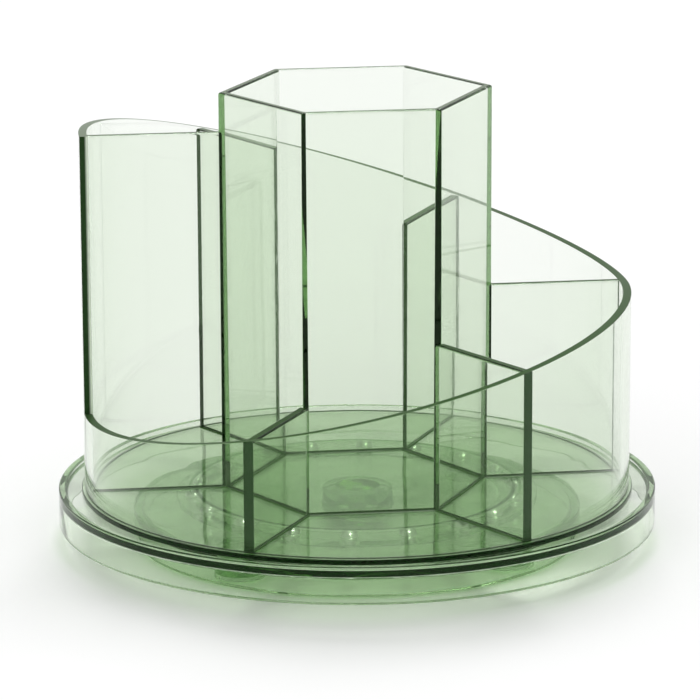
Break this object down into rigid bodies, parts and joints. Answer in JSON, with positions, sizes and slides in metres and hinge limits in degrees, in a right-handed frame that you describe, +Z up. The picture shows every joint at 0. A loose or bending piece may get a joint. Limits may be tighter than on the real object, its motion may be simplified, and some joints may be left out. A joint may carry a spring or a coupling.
{
  "type": "rotating pen holder",
  "caption": "Clear green acrylic desk pen holder: hexagonal centre cup, radial dividers and a round wall with a climbing rim, spinning on a ball-bearing turntable base.",
  "frame": {"origin": "on the spin axis, on the surface that the pads stand on", "axes": "+Z up along the spin axis, -X towards the step in the rim, -Y towards the front"},
  "size_m": [0.16, 0.16, 0.1213],
  "materials": {
    "green_acrylic": "polished clear",
    "green_tray": "polished clear",
    "green_foot": "polished clear",
    "clear_cage": "clear",
    "polished_steel": "polished",
    "zinc_steel": "zinc plated",
    "silicone": "matte"
  },
  "bodies": {
    "base": {"foot_base": "green_foot", "foot_pads": "silicone"},
    "cage": {"ball_cage": "clear_cage", "bearing_balls": "polished_steel"},
    "turntable": {"divider_back_left": "green_acrylic", "divider_back_right": "green_acrylic", "divider_front_left": "green_acrylic", "divider_front_right": "green_acrylic", "divider_left": "green_acrylic", "divider_right": "green_acrylic", "floor_disc": "green_acrylic", "hex_panel_back": "green_acrylic", "hex_panel_back_left": "green_acrylic", "hex_panel_back_right": "green_acrylic", "hex_panel_front": "green_acrylic", "hex_panel_front_left": "green_acrylic", "hex_panel_front_right": "green_acrylic", "pivot_screw": "zinc_steel", "pivot_washer": "zinc_steel", "spiral_wall": "green_acrylic", "turntable_tray": "green_tray"}
  },
  "joints": [
    {"name": "turntable_spin", "type": "hinge", "parent": "base", "child": "turntable", "pos_m": [0, 0, 0.0113], "axis": [0, 0, 1], "continuous": true},
    {"name": "cage_spin", "type": "hinge", "parent": "base", "child": "cage", "pos_m": [0, 0, 0.0091], "axis": [0, 0, 1], "continuous": true}
  ],
  "couplings": [
    {"joint": "cage_spin", "follows": "turntable_spin", "ratio": 0.5}
  ]
}
